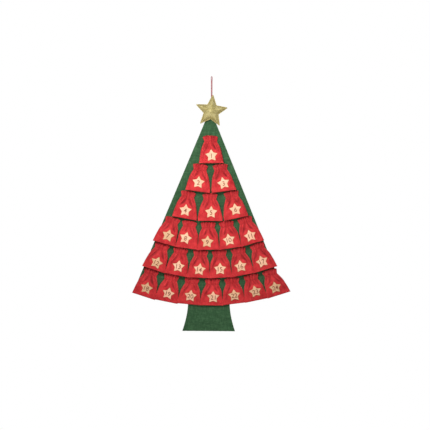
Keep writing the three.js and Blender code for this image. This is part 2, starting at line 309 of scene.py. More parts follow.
class Finish:
    """A material's node tree, with short names for the nodes that its patterns are made of."""

    def __init__(self, name, roughness, sheen=0.0, tint=(1, 1, 1, 1), metallic=0.0, specular=0.15):
        self.material = bpy.data.materials.new(name)
        self.material.use_nodes = True
        self.tree = self.material.node_tree
        self.shader = self.tree.nodes["Principled BSDF"]
        for socket, value in {
            "Roughness": roughness, "Metallic": metallic, "Specular IOR Level": specular, "Sheen Weight": sheen,
            "Sheen Roughness": 0.5, "Sheen Tint": tint,
        }.items():
            self.shader.inputs[socket].default_value = value
        self.place = add_node(self.tree, "ShaderNodeTexCoord").outputs["Object"]

    def node(self, kind, inputs=None, **settings):
        return add_node(self.tree, kind, inputs, **settings)

    def noise(self, scale, detail=2, stretch=None):
        vector = self.place
        if stretch:
            vector = self.node("ShaderNodeMapping", {"Vector": vector, "Scale": stretch}).outputs[0]
        inputs = {"Vector": vector, "Scale": scale, "Detail": detail}
        return self.node("ShaderNodeTexNoise", inputs).outputs["Fac"]

    def math(self, operation, first, second=0.0):
        return self.node("ShaderNodeMath", {0: first, 1: second}, operation=operation).outputs[0]

    def span(self, value, low, high, to_low=0.0, to_high=1.0):
        return self.node(
            "ShaderNodeMapRange",
            {"Value": value, "From Min": low, "From Max": high, "To Min": to_low, "To Max": to_high},
        ).outputs[0]

    def mix(self, share, first, second):
        return self.node("ShaderNodeMix", {0: share, 6: first, 7: second}, data_type="RGBA").outputs[2]

    def attribute(self, name):
        return self.node("ShaderNodeAttribute", attribute_name=name).outputs["Fac"]

    def colour(self, value):
        self.tree.links.new(value, self.shader.inputs["Base Color"])

    def roughness(self, value):
        self.tree.links.new(value, self.shader.inputs["Roughness"])

    def bump(self, *layers):
        """Layers of (height, millimetres), each on top of the one before."""
        normal = None
        for height, distance in layers:
            under = {"Normal": normal} if normal else {}
            inputs = {"Height": height, "Distance": distance * MM, **under}
            normal = self.node("ShaderNodeBump", inputs).outputs[0]
        self.tree.links.new(normal, self.shader.inputs["Normal"])

    def weave(self, uv_map, threads):
        """The height of a plain weave, over and under, with that many threads a metre."""
        uv = self.node("ShaderNodeUVMap", uv_map=uv_map).outputs[0]
        parts = self.node("ShaderNodeSeparateXYZ", {0: uv})
        across = self.math("MULTIPLY", parts.outputs[0], threads * math.pi)
        along = self.math("MULTIPLY", parts.outputs[1], threads * math.pi)
        waves = [self.math("SINE", turns) for turns in (across, along)]
        warp, weft = (self.math("ABSOLUTE", wave) for wave in waves)
        over = self.math("MULTIPLY", *(self.math("SIGN", wave) for wave in waves))
        over = self.span(over, -1, 1)
        one = self.math("MULTIPLY", warp, over)
        other = self.math("MULTIPLY", weft, self.math("SUBTRACT", 1.0, over))
        return self.math("ADD", one, other)


def red_cotton():
    finish = Finish("red_cotton", 0.66, sheen=0.3, tint=srgb(255, 170, 165))
    broad = finish.span(finish.noise(34, 3), 0.35, 0.65)
    fine = finish.noise(900, 2)
    slub = finish.noise(260, 2, stretch=(1, 1, 0.12))
    painted_shade_and_edges = finish.attribute("painted_shade_and_edges")
    colour = finish.mix(broad, srgb(189, 39, 44), srgb(219, 56, 59))
    colour = finish.mix(finish.span(fine, 0.35, 0.65, 0, 0.14), colour, srgb(150, 8, 20))
    colour = finish.mix(finish.span(slub, 0.5, 0.75, 0, 0.14), colour, srgb(236, 76, 74))
    # Painted shade in the folds, neck, frill, hem and pocket, and a random tone for each bag
    colour = finish.mix(painted_shade_and_edges, colour, srgb(100, 10, 14))
    finish.colour(colour)
    finish.roughness(finish.span(slub, 0.3, 0.7, 0.7, 0.54))
    finish.bump((finish.weave("weave", WEAVE_THREADS), 0.12), (slub, 0.12), (finish.noise(70, 3), 1.2))
    return finish.material


def green_felt():
    finish = Finish("green_felt", 0.95, sheen=0.12, tint=srgb(150, 190, 150))
    cloud = finish.noise(16, 3)
    fibres = [finish.noise(220, 4, stretch) for stretch in ((1, 1, 0.16), (0.16, 1, 1), (0.6, 1, 0.5))]
    mat = finish.math("MULTIPLY", finish.math("ADD", finish.math("ADD", fibres[0], fibres[1]), fibres[2]), 0.333)
    speck = finish.noise(1400, 2)
    colour = finish.mix(finish.span(cloud, 0.3, 0.7), srgb(50, 81, 53), srgb(56, 91, 60))
    colour = finish.mix(finish.span(mat, 0.38, 0.52, 0.35, 0), colour, srgb(26, 54, 33))
    colour = finish.mix(finish.span(mat, 0.5, 0.62, 0, 0.3), colour, srgb(86, 128, 88))
    colour = finish.mix(finish.span(speck, 0.55, 0.8, 0, 0.25), colour, srgb(108, 146, 108))
    finish.colour(colour)
    finish.bump((mat, 1.2), (speck, 0.2))
    return finish.material


def gold_cloth():
    finish = Finish("gold_cloth", 0.6, sheen=0.2, tint=srgb(250, 235, 190), metallic=0.15, specular=0.25)
    cloud = finish.noise(45, 3)
    flecks = finish.node("ShaderNodeTexVoronoi", {"Vector": finish.place, "Scale": 900}).outputs["Color"]
    glitter_glints = finish.node("ShaderNodeSeparateColor", {0: flecks}).outputs[0]
    thread = finish.noise(700, 2, stretch=(1, 1, 0.2))
    painted_shade_and_edges = finish.attribute("painted_shade_and_edges")
    colour = finish.mix(finish.span(cloud, 0.35, 0.65), srgb(160, 146, 86), srgb(186, 174, 120))
    # Glitter flecks in the cloth, lightened towards pale gold as painted glints
    colour = finish.mix(finish.span(glitter_glints, 0.6, 1, 0, 0.25), colour, srgb(240, 230, 184))
    colour = finish.mix(finish.span(thread, 0.5, 0.8, 0, 0.16), colour, srgb(132, 110, 54))
    # Darker along the star's seam and the border's inner edge
    colour = finish.mix(finish.math("MULTIPLY", painted_shade_and_edges, 0.45), colour, srgb(120, 98, 44))
    finish.colour(colour)
    finish.roughness(finish.span(glitter_glints, 0, 1, 0.72, 0.5))
    finish.bump((thread, 0.3), (glitter_glints, 0.12))
    return finish.material


def cream_cloth():
    finish = Finish("cream_cloth", 0.7, sheen=0.2, tint=srgb(255, 250, 235))
    cloud = finish.noise(60, 3)
    thread = finish.noise(800, 2, stretch=(0.3, 1, 1))
    edge, tan = finish.attribute("painted_shade_and_edges"), finish.attribute("tan")
    colour = finish.mix(finish.span(cloud, 0.3, 0.7), srgb(243, 186, 152), srgb(252, 205, 173))
    colour = finish.mix(tan, colour, srgb(198, 160, 104))
    colour = finish.mix(finish.span(thread, 0.5, 0.8, 0, 0.3), colour, srgb(214, 164, 120))
    # Darker at the star's edge
    colour = finish.mix(edge, colour, srgb(176, 132, 82))
    finish.colour(colour)
    finish.bump((thread, 0.2), (finish.noise(1500, 2), 0.1))
    return finish.material


def thread_finish(name, dark, light, roughness=0.6, sheen=0.15):
    finish = Finish(name, roughness, sheen=sheen)
    strand = finish.noise(2200, 2)
    finish.colour(finish.mix(finish.span(strand, 0.35, 0.65), srgb(*dark), srgb(*light)))
    finish.bump((strand, 0.1))
    return finish.material


def printed_ink():
    finish = Finish("brown_ink", 0.7)
    grain = finish.noise(1600, 3)
    finish.colour(finish.mix(finish.span(grain, 0.4, 0.7), srgb(122, 62, 42), srgb(156, 92, 66)))
    finish.bump((grain, 0.08))
    return finish.material


# Cord
def catmull_rom(points, spacing):
    """Evenly spaced points on the curve through these points, both ends among them."""
    points = np.array(points, float)
    ends = np.vstack([2 * points[0] - points[1], points, 2 * points[-1] - points[-2]])
    t = np.linspace(0, 1, 24, endpoint=False)[:, None]
    runs = []
    for k in range(len(points) - 1):
        a, b, c, d = ends[k : k + 4]
        runs.append(
            0.5 * (2 * b + (c - a) * t + (2 * a - 5 * b + 4 * c - d) * t**2 + (3 * b - a - 3 * c + d) * t**3)
        )
    curve = np.vstack([*runs, points[-1:]])
    length = distances_along(curve)[-1]
    return points_along(curve, np.linspace(0, length, max(3, round(length / spacing) + 1))), length


def cord_half(side):
    """The route of the loop's left half (-1) or right half (1), from its sewn end up."""
    points = []
    for aside, height, twist, forward in CORD_ROUTE:
        angle = math.radians(twist)
        points.append((side * aside * math.cos(angle), -side * aside * math.sin(angle) - forward, height))
    return [tuple(value * MM for value in point) for point in points]


def hanging_loop(material):
    path, length = catmull_rom(cord_half(-1) + cord_half(1)[-2::-1], CORD_STEP)
    tangents = units(np.gradient(path, axis=0))
    side = np.array([0.0, -1.0, 0.0])
    angles = np.linspace(0, 2 * math.pi, CORD_SIDES, endpoint=False)
    along = np.linspace(0, length, len(path))
    rings = []
    for point, tangent, distance in zip(path, tangents, along):
        side = side - tangent * (side @ tangent)
        side /= np.linalg.norm(side)
        lateral = np.cross(tangent, side)
        lobes = np.abs(np.cos(CORD_STRANDS / 2 * (angles - 2 * math.pi * distance / CORD_LAY)))
        radius = CORD_DIAMETER / 2 * (0.88 + 0.2 * lobes)
        rings.append(
            point + np.outer(radius * np.cos(angles), side) + np.outer(radius * np.sin(angles), lateral)
        )
    faces = ring_faces(len(rings), CORD_SIDES)
    last = (len(rings) - 1) * CORD_SIDES
    faces += [tuple(range(CORD_SIDES))[::-1], tuple(range(last, last + CORD_SIDES))]
    cord = smooth_object("cord", np.vstack(rings), faces, material)
    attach(cord, "tree")
    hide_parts("hanging_loop")


# Felt
def panel_outline():
    """The felt's outline as X and Z, from the front face of its CAD node."""
    mesh = NODES["tree_panel"].data
    front = min(vertex.co.y for vertex in mesh.vertices)
    key = {vertex.index: (round(vertex.co.x, 5), round(vertex.co.z, 5)) for vertex in mesh.vertices}
    seen = {}
    for face in mesh.polygons:
        if all(abs(mesh.vertices[v].co.y - front) < 1e-5 for v in face.vertices):
            corners = [key[v] for v in face.vertices]
            for a, b in zip(corners, corners[1:] + corners[:1]):
                seen[frozenset((a, b))] = seen.get(frozenset((a, b)), 0) + 1
    neighbours = {}
    for edge, times in seen.items():
        if times == 1:
            a, b = tuple(edge)
            neighbours.setdefault(a, []).append(b)
            neighbours.setdefault(b, []).append(a)
    first = min(neighbours)
    loop = [first]
    before, here = first, neighbours[first][0]
    while here != first:
        loop.append(here)
        onward = [point for point in neighbours[here] if point != before]
        before, here = here, onward[0]
    loop = np.array(loop)
    area = 0.5 * np.sum(loop[:, 0] * np.roll(loop[:, 1], -1) - np.roll(loop[:, 0], -1) * loop[:, 1])
    return (loop if area > 0 else loop[::-1]), abs(area)


def split_edges(loop, spacing):
    points = []
    for a, b in zip(loop, np.roll(loop, -1, axis=0)):
        count = max(1, round(np.linalg.norm(b - a) / spacing))
        points += [a + (b - a) * k / count for k in range(count)]
    return np.array(points)


def distance_to(outline, points):
    """How far each point is from a closed outline."""
    nearest = np.full(len(points), 1e9)
    for start, end in zip(outline, np.roll(outline, -1, axis=0)):
        edge = end - start
        share = np.clip(((points - start) @ edge) / (edge @ edge), 0, 1)
        nearest = np.minimum(nearest, np.linalg.norm(points - start - share[:, None] * edge, axis=1))
    return nearest


def fill_outline(outline, spacing):
    """Triangles over a closed outline, whose own points come first, with a regular net of points inside it."""
    low, high = outline.min(axis=0), outline.max(axis=0)
    net = []
    for number, level in enumerate(np.arange(low[1], high[1], spacing * 0.866)):
        start = low[0] + (number % 2) * spacing / 2
        net += [(x, level) for x in np.arange(start, high[0], spacing)]
    net = np.array(net)
    inside = np.zeros(len(net), bool)
    for (ax, ay), (bx, by) in zip(outline, np.roll(outline, -1, axis=0)):
        crosses = (ay > net[:, 1]) != (by > net[:, 1])
        where = (bx - ax) * (net[:, 1] - ay) / ((by - ay) or 1e-12) + ax
        inside ^= crosses & (net[:, 0] < where)
    kept = net[inside & (distance_to(outline, net) > NET_MARGIN * spacing)]
    points = [Vector(point) for point in np.vstack([outline, kept])]
    count = len(outline)
    result = delaunay_2d_cdt(points, [(k, (k + 1) % count) for k in range(count)], [], 1, 1e-7)
    flat = np.array([tuple(point) for point in result[0]])
    faces = [tuple(face) for face in result[2]]
    return flat, [face if is_turned_left(flat, face) else face[::-1] for face in faces]


def is_turned_left(points, face):
    a, b, c = (points[v] for v in face[:3])
    return (b[0] - a[0]) * (c[1] - a[1]) - (b[1] - a[1]) * (c[0] - a[0]) > 0


def felt_tree(material):
    rng = np.random.default_rng(11)
    loop, area = panel_outline()
    outline = split_edges(loop, FELT_CELL)
    cut = waves(rng, 0.02)
    away = units(outline - outline.mean(axis=0))
    outline = outline - away * (FELT_FRAY * (1 + cut(*outline.T)))[:, None]
    flat, faces = fill_outline(outline, FELT_CELL)
    low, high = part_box("tree_panel")
    broad, small = waves(rng, 0.35), waves(rng, 0.09)

    def front_at(x, z):
        return low.y + FELT_INSET + FELT_WAVE * (0.5 + 0.35 * broad(x, z) + 0.15 * small(x, z)).clip(0, 1)

    front = np.column_stack([flat[:, 0], front_at(*flat.T), flat[:, 1]])
    depth = FELT_THICKNESS - 2 * FELT_INSET
    back = front + (0, depth, 0)
    count, total = len(outline), len(flat)
    thickness_middle = (front[:count] + back[:count]) / 2
    all_faces = faces + [tuple(total + v for v in face[::-1]) for face in faces]
    for k in range(count):
        following = (k + 1) % count
        middle, next_middle = 2 * total + k, 2 * total + following
        all_faces.append((following, k, middle, next_middle))
        all_faces.append((next_middle, middle, total + k, total + following))
    points = np.vstack([front, back, thickness_middle])
    felt = smooth_object("felt_tree", points, all_faces, material)
    felt.data.set_sharp_from_angle(angle=math.radians(60))
    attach(felt, "tree")
    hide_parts("tree_panel")
    return lambda x, z: front_at(x, z) + depth


def bag_seam(number, back_at, material):
    """The stitches along a bag's top, which come through to the felt's back."""
    place = BagPlace(number)
    corners = place.to_local(positions(NODES[f"bag_{number:02d}"].data))
    top = corners[corners[:, 2] < 0.5 * MM, 0]
    paths = []
    for run in stitch_runs(top.min() + 3 * MM, top.max() - 3 * MM - SEAM_STITCH, SEAM_STITCH, 1.45):
        path = place.to_world(run, 0.0, SEAM_DROP)
        path[:, 1] = back_at(path[:, 0], path[:, 2])
        paths.append(path)
    sew(f"back_stitches_{number:02d}", paths, SEAM_THREAD, (0, 1, 0), material, "tree")


# Bags
def soften(values, spacing, width):
    """Rounds the corners of a profile sampled at that spacing, with both of its ends kept."""
    reach = int(3 * width / spacing)
    head = 2 * values[0] - values[reach:0:-1]
    tail = 2 * values[-1] - values[-2 : -reach - 2 : -1]
    offsets = np.arange(-reach, reach + 1) * spacing
    kernel = np.exp(-0.5 * (offsets / width) ** 2)
    return np.convolve(np.concatenate([head, values, tail]), kernel / kernel.sum(), "valid")


class BagPlace:
    """A bag's own frame, from its hinge: across to the right, forwards from the felt, and down."""

    def __init__(self, number):
        joint = JOINTS[f"bag_{number:02d}"]
        self.number = number
        self.pivot = np.array(joint["pos_m"], float)
        axis = np.array(joint["axis"], float)
        self.across = -axis / np.linalg.norm(axis)
        self.forward = np.array([0.0, -1.0, 0.0])
        self.up = np.cross(self.forward, self.across)

    def to_world(self, across, depth, drop):
        across, depth, drop = np.broadcast_arrays(across, depth, drop)
        along = depth[..., None] * self.forward - drop[..., None] * self.up
        return self.pivot + across[..., None] * self.across + along

    def to_local(self, points):
        away = np.asarray(points, float) - self.pivot
        return np.stack([away @ self.across, away @ self.forward, -(away @ self.up)], axis=-1)


def row_room(number, drop):
    """Half of the room that a hanging bag has between its neighbours in the row, and whether it has a left and a
    right neighbour.
    """
    first = 1
    for count in ROW_COUNTS:
        if number < first + count:
            break
        first += count
    has_left, has_right = number > first, number + 1 < first + count
    if count == 1:
        return np.full_like(drop, BAG_HALF_WIDTH), has_left, has_right
    here, there = BagPlace(number), BagPlace(number + 1 if has_right else number - 1)
    step = math.acos(min(1, float(here.across @ there.across)))
    radius = np.linalg.norm(here.pivot - there.pivot) / (2 * math.sin(step / 2))
    return (radius + drop) * math.tan(step / 2) - HEM_GAP / 2, has_left, has_right


def bag_profile(number, place, drop):
    """A bag's left and right edges, back and front at each drop, from its CAD node. Its hem reaches a little
    further out, towards its neighbours' hems. The last value is how far the cloth falls behind the plane of its
    sloping front.
    """
    points = place.to_local(positions(NODES[f"bag_{number:02d}"].data))
    table = []
    for station in BAG_STATIONS:
        near = points[np.abs(points[:, 2] - station) < 0.5 * MM]
        table.append((-near[:, 0].min(), near[:, 0].max(), near[:, 1].min(), near[:, 1].max()))
    table = np.array(table)
    even = np.linspace(0, BAG_LENGTH, 141)
    left, right, back, front = (
        np.interp(drop, even, soften(np.interp(even, BAG_STATIONS, table[:, k]), even[1], PROFILE_SOFTNESS))
        for k in range(4)
    )
    spare = np.interp(drop / MM, [0, 52, 75, 102, 140], [0, 0, 0.5, 1.5, 6]) * MM
    pinch = NECK_PINCH * np.exp(-(((drop - NECK_DROP) / (7 * MM)) ** 2))
    room, has_left, has_right = row_room(number, drop)
    left, right = (
        np.where(has, np.minimum(np.minimum(side + spare, BAG_HALF_WIDTH), room), side) - pinch
        for side, has in ((left, has_left), (right, has_right))
    )
    belly, hem = table[3, 3], table[-1, 3]
    plane = belly + (hem - belly) * (drop - BELLY_DROP) / (BAG_LENGTH - BELLY_DROP)
    return left, right, back, front, plane - front


def front_valleys(rng):
    """The folds of a bag's front: two broad valleys beside a middle ridge that leads down to the number star, and
    smaller ones. Each has its place and drift as shares of the half width, its depth, width and length in
    millimetres, the strength of the shade painted into it, and its strength at the neck and up the frill.
    """
    draw = rng.uniform
    valleys = []
    for side in (-1, 1):
        valleys.append((
            side * draw(0.14, 0.34), side * draw(0.3, 0.55), draw(4.2, 7), draw(5.5, 8.5), draw(70, 110),
            draw(0.5, 0.85), 0.55, 0.4,
        ))
        valleys.append((
            side * draw(0.66, 0.8), side * draw(0.02, 0.1), draw(2.4, 4.2), draw(4.5, 6.5), draw(34, 62),
            draw(0.3, 0.6), 0.55, 0.8,
        ))
    for start in np.linspace(-0.8, 0.8, 6):
        valleys.append((
            start + draw(-0.1, 0.1), draw(-0.12, 0.12), draw(1, 2.2), draw(2, 3.4), draw(12, 30),
            draw(0.1, 0.45), 1, 0.8,
        ))
    return valleys


def back_valleys(rng):
    return [
        (start + rng.uniform(-0.05, 0.05), 0, 0.9, rng.uniform(2, 3.2), rng.uniform(14, 40), 0.5, 1, 0.8)
        for start in np.linspace(-0.8, 0.8, 9)
    ]


def gather(valleys, across, level, half, middle):
    """How far cloth sinks in its valleys, which start at the neck and run down the pouch and up the frill, and how
    much shade is painted into them.
    """
    below, above = np.maximum(level - NECK_DROP, 0), np.maximum(NECK_DROP - level, 0) / NECK_DROP
    sink, dark = np.zeros_like(across), np.zeros_like(across)
    for start, drift, depth, width, reach, painted_shade_strength, at_neck, up in valleys:
        run = np.clip(below / (reach * MM), 0, 1)
        centre = start + drift * np.sin(run * math.pi / 2) + 0.12 * drift * above
        swell = at_neck + (1 - at_neck) * np.sin(np.clip(run * 2.2, 0, 1) * math.pi / 2)
        fade = swell * (1 - step_between(0.35, 1, run)) * (1 - (1 - up) * step_between(0, 1, above))
        wide = width * MM * (0.65 + 0.9 * run + 0.35 * above)
        offset = (across - middle[:, None] - centre * half[:, None]) / wide
        steep = np.where(offset * (1 if drift >= 0 else -1) > 0, 1.7, 0.85)
        shape = np.exp(-((offset * steep) ** 2)) * fade
        sink = sink + depth * MM * shape
        dark = np.maximum(dark, painted_shade_strength * shape)
    return sink, dark


def bag_levels():
    """The drops of a bag's rings of points, closer together at the rim and where the hem is folded."""
    share = np.linspace(0, 1, LEVELS + 1)
    drop = BAG_LENGTH * (0.62 * share + 0.38 * share**1.9)
    near_hem = BAG_LENGTH - np.array([1.1, 0.75, 0.4, 0.15, 0]) * MM
    return np.concatenate([drop[drop < near_hem[0] - 0.8 * MM], near_hem])


def bag_surface(number, place):
    """A bag's rings of points, each from its left side over the front to the right and back behind, with their
    drops, the shade painted into their folds, hollows and hem, their place in the weave, and the drop and fall of
    each ring.
    """
    rng = np.random.default_rng(400 + number)
    drop = bag_levels()
    left, right, back, front, fallen = bag_profile(number, place, drop)
    half, centre = (left + right) / 2, (right - left) / 2
    level = drop[:, None]
    down = level / BAG_LENGTH
    seam = (back + SEAM_SHARE * (front - back))[:, None]

    t = np.linspace(0, 1, RING_HALF + 1)
    spread = 0.6 * (1 - 2 * t) + 0.4 * np.cos(math.pi * t)
    frill = 1 - step_between(0, 1, level / (NECK_DROP * 0.95))
    ripple, slack, ruffle = waves(rng, 0.05), waves(rng, 0.022), waves(rng, 0.5)
    sway = rng.uniform(-1.2, 1.2) * MM
    hem_tilt = rng.uniform(-1, 1) * MM
    longer = LOWER_HEMS.get(number, 0) * MM * step_between(0.3, 1, down)

    def layer(across_share, outer, shape):
        across = centre[:, None] + across_share * half[:, None] + sway * np.sin(down * math.pi)
        body = (1 - np.abs(across_share) ** shape[0]) ** shape[1]
        return across, seam + (outer[:, None] - seam) * body, 1 - np.abs(across_share) ** 10

    across_front, depth_front, open_front = layer(spread, front, FRONT_SHAPE)
    across_back, depth_back, open_back = layer(spread[::-1], back, BACK_SHAPE)

    # The front is flat where the number star lies on it
    star = place.to_local(star_points(number)).mean(axis=0)
    distance = np.hypot(across_front - star[0], level - star[2])
    flat = 1 - step_between(FLAT_UNDER_STAR, FLAT_UNDER_STAR + FLAT_FADE, distance)
    depth_front = depth_front + flat * (front[:, None] - 0.1 * MM - depth_front)

    # Folds, the drawn-in neck, and the soft swelling of the pouch
    sink_front, painted_shade_front = gather(front_valleys(rng), across_front, level, half, centre)
    sink_back, painted_shade_back = gather(back_valleys(rng), across_back, level, half, centre)
    cinch = np.exp(-(((level - NECK_DROP) / CINCH_REACH) ** 2))
    settle = step_between(0.2, 0.45, down) * (1 - step_between(0.92, 1, down))
    puff = (1.2 * ripple(across_front, level) + 0.4 * slack(across_front, level)) * MM * settle
    soft = (1 - flat) * open_front
    room = 0.5 * (depth_front - back[:, None])
    depth_front = depth_front - np.minimum(sink_front + cinch * CINCH_DEPTH, room) * soft + puff * soft

    # Flutes and droop of the frill, and painted shade at the drawn-in neck, in the frill's hollows and along the
    # hem's fold, with the row above's shadow painted on the frill and a random tone for each bag
    waving = 2.6 * spread + 0.55 * ruffle(spread * 0.5, down * 0.1)
    flutes = np.sin(2 * math.pi * (waving + rng.uniform(0, 1)))
    depth_front = depth_front + frill * open_front * RIM_FLUTES * flutes
    depth_back = depth_back + (sink_back + frill * 0.9 * MM * (1 - flutes[:, ::-1])) * open_back
    painted_shade_front = np.maximum(painted_shade_front, 0.3 * cinch) + frill * (0.22 - 0.14 * flutes) + rng.uniform(0, 0.14)
    painted_shade_front = painted_shade_front + 0.45 * step_between(BAG_LENGTH - 3 * MM, BAG_LENGTH - 0.6 * MM, level)

    droops = rng.uniform(0.7, 1.3, 2) * RIM_DROOP
    droop = frill * np.abs(spread) ** 4 * np.where(spread < 0, droops[0], droops[1])
    ragged = (1.4 + 1.2 * slack(across_front, 0 * level)) * MM
    drop_front = level + frill * ragged + droop + hem_tilt * spread * down**2 + longer
    ragged = (1.0 + 1.0 * slack(across_back, 0 * level)) * MM
    drop_back = level + frill * ragged + droop[:, ::-1] + hem_tilt * spread[::-1] * down**2 + longer
    drop_front[:, 0] = drop_back[:, -1] = (drop_front[:, 0] + drop_back[:, -1]) / 2
    drop_front[:, -1] = drop_back[:, 0] = (drop_front[:, -1] + drop_back[:, 0]) / 2

    # The hem's edge is a fold, and its left corner hangs in front of the next bag's right corner
    to_hem = BAG_LENGTH - drop
    fold = np.where(to_hem < HEM_FOLD, np.sqrt(np.clip(1 - (1 - to_hem / HEM_FOLD) ** 2, 0.02, 1)), 1)[:, None]
    middle = ((front + back) / 2)[:, None]
    lean = -HEM_LEAN * step_between(0.45, 1, down)
    depth_front = middle + (depth_front - middle) * fold + lean * spread**3
    depth_back = middle + (depth_back - middle) * fold + lean * spread[::-1] ** 3

    across = np.hstack([across_front, across_back[:, 1:-1]])
    depth = np.hstack([depth_front, depth_back[:, 1:-1]])
    drops = np.hstack([drop_front, drop_back[:, 1:-1]])
    painted_shade_and_edges = np.hstack([painted_shade_front * soft, (painted_shade_back * open_back)[:, 1:-1]]).clip(0, 1)
    weave_u = np.hstack([spread, spread[::-1][1:-1]]) * BAG_HALF_WIDTH
    return place.to_world(across, depth, drops), drops, painted_shade_and_edges, weave_u, drop, fallen


def cloth_bag(number, material, thread):
    """A bag, an open pocket of thick cloth. Returns what lays a number star's points on its front."""
    place = BagPlace(number)
    outer, drops, painted_shade_and_edges, weave_u, drop, fallen = bag_surface(number, place)
    rows, count = outer.shape[:2]
    along_ring = np.roll(outer, -1, axis=1) - np.roll(outer, 1, axis=1)
    normals = np.cross(along_ring, np.gradient(outer, axis=0))
    normals /= np.maximum(np.linalg.norm(normals, axis=2), 1e-12)[..., None]
    if normals[rows // 2, RING_HALF // 2] @ place.forward < 0:
        normals = -normals
    floor_row = int(np.searchsorted(drop, POCKET_FLOOR))
    inner_rows = sorted(set(range(0, floor_row, 4)) | {floor_row})
    inner = (outer - normals * CLOTH)[inner_rows]

    points = np.vstack([outer.reshape(-1, 3), inner.reshape(-1, 3)])
    start = rows * count
    faces = ring_faces(rows, count) + ring_faces(len(inner_rows), count, start, flip=True)
    for k in range(count):
        following = (k + 1) % count
        faces.append((following, k, start + k, start + following))
    for base, flip in (((rows - 1) * count, False), (start + (len(inner_rows) - 1) * count, True)):
        for k in range(RING_HALF):
            ring = [k, k + 1, (count - k - 1) % count, (count - k) % count]
            corners = [base + v for v in dict.fromkeys(ring)]
            faces.append(tuple(corners[::-1] if flip else corners))
    bag = smooth_object(f"cloth_bag_{number:02d}", points, faces, material)
    mesh = bag.data

    uv = np.column_stack([
        np.tile(weave_u, rows + len(inner_rows)),
        np.concatenate([drops.ravel(), drops[inner_rows].ravel()]),
    ])
    corners = np.zeros(len(mesh.loops), int)
    mesh.loops.foreach_get("vertex_index", corners)
    mesh.uv_layers.new(name="weave").uv.foreach_set("vector", uv[corners].ravel())
    # The inside of the pocket gets even painted shade
    set_values(mesh, "painted_shade_and_edges", np.concatenate([painted_shade_and_edges.ravel(), np.full(len(inner_rows) * count, 0.45)]))
    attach(bag, f"bag_{number:02d}")
    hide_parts(f"bag_{number:02d}")
    press_together(bag, place)

    # The running stitches that draw the neck in, over its front
    neck_row = int(np.argmin(np.abs(drop - NECK_DROP)))
    line = outer[neck_row, : RING_HALF + 1] + normals[neck_row, : RING_HALF + 1] * 0.25 * MM
    runs = stitch_runs(NECK_STITCH, distances_along(line)[-1] - 2 * NECK_STITCH, NECK_STITCH, 1.9, 5)
    paths = [points_along(line, run) for run in runs]
    name = f"neck_stitches_{number:02d}"
    stitches = sew(name, paths, NECK_THREAD, (0, -1, 0), thread, f"bag_{number:02d}")
    press_together(stitches, place)
    return lambda where: where - np.interp(place.to_local(where)[..., 2], drop, fallen)[..., None] * place.forward


def press_together(piece, place):
    """Gives a piece of a bag's cloth its own copy of its mesh, for every bag but the first."""
    if place.number > 1:
        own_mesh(piece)


def stitch_runs(first, last, stitch, spacing, count=4):
    """Where the points of each stitch lie along its line. The spacing is in stitches."""
    return [np.linspace(start, start + stitch, count) for start in np.arange(first, last, spacing * stitch)]


def sew(name, paths, thickness, outwards, material, body):
    """One object of all the stitches that follow these paths."""
    points, faces = [], []
    for path in paths:
        add_thread(points, faces, path, thickness, outwards)
    stitches = smooth_object(name, points, faces, material)
    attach(stitches, body)
    return stitches


def add_thread(points, faces, path, thickness, outwards):
    """Adds one stitch to a mesh's lists: a round thread along a path, whose ends taper and dive inwards."""
    outwards = np.array(outwards, float)
    across = units(np.cross(units(np.gradient(path, axis=0)), outwards))
    base = len(points)
    last = len(path) - 1
    for k, (point, side) in enumerate(zip(path, across)):
        height = math.sin(math.pi * (0.08 + 0.84 * k / last))
        radius = thickness / 2 * (0.35 + 0.65 * height)
        for angle in np.linspace(0, 2 * math.pi, THREAD_SIDES, endpoint=False):
            away = math.cos(angle) * side + math.sin(angle) * outwards
            points.append(point + outwards * thickness * (height - 0.75) * 0.6 + radius * away)
    faces += ring_faces(last + 1, THREAD_SIDES, base)
    end = base + last * THREAD_SIDES
    faces += [tuple(range(base, base + THREAD_SIDES))[::-1], tuple(range(end, end + THREAD_SIDES))]


# Stars
def star_outline(radius, notch, rounding, tip_points, edge_points):
    """A five-pointed star with rounded tips, its first tip up, as points to the right and up, clockwise."""
    def corner(k):
        reach = notch if k % 2 else radius
        angle = math.pi / 2 - k * math.pi / 5
        return reach * np.array([math.cos(angle), math.sin(angle)])

    points = []
    for k in range(0, 10, 2):
        before = corner(k) + (corner(k - 1) - corner(k)) * rounding
        after = corner(k) + (corner(k + 1) - corner(k)) * rounding
        for t in np.linspace(0, 1, tip_points):
            points.append((1 - t) ** 2 * before + 2 * t * (1 - t) * corner(k) + t**2 * after)
        valley = corner(k + 1)
        onward = corner(k + 2) + (valley - corner(k + 2)) * rounding
        for t in np.linspace(0, 1, edge_points, endpoint=False)[1:]:
            points.append(after + (valley - after) * t)
        for t in np.linspace(0, 1, edge_points, endpoint=False):
            points.append(valley + (onward - valley) * t)
    return np.array(points)


def star_points(number):
    return positions(NODES[f"number_star_{number:02d}"].data)


def star_plane(number):
    """The middle of a number star's back, and its directions to the right, up and forwards, from its CAD node."""
    points = star_points(number)
    middle = points.mean(axis=0)
    normal = np.linalg.svd(points - middle)[2][2]
    normal = normal if normal[1] < 0 else -normal
    up = np.array([0.0, 0.0, 1.0])
    up -= normal * (up @ normal)
    up /= np.linalg.norm(up)
    right = np.cross(up, normal)
    away = points - middle
    a, b = away @ right, away @ up
    reach = np.hypot(a, b)
    tips = reach > 0.96 * reach.max()
    turns = np.arctan2(a[tips], b[tips])
    turn = np.angle(np.exp(5j * turns).mean()) / 5
    right, up = (
        right * math.cos(turn) - up * math.sin(turn),
        right * math.sin(turn) + up * math.cos(turn),
    )
    back = middle + normal * (away @ normal).min()
    return back, right, up, normal


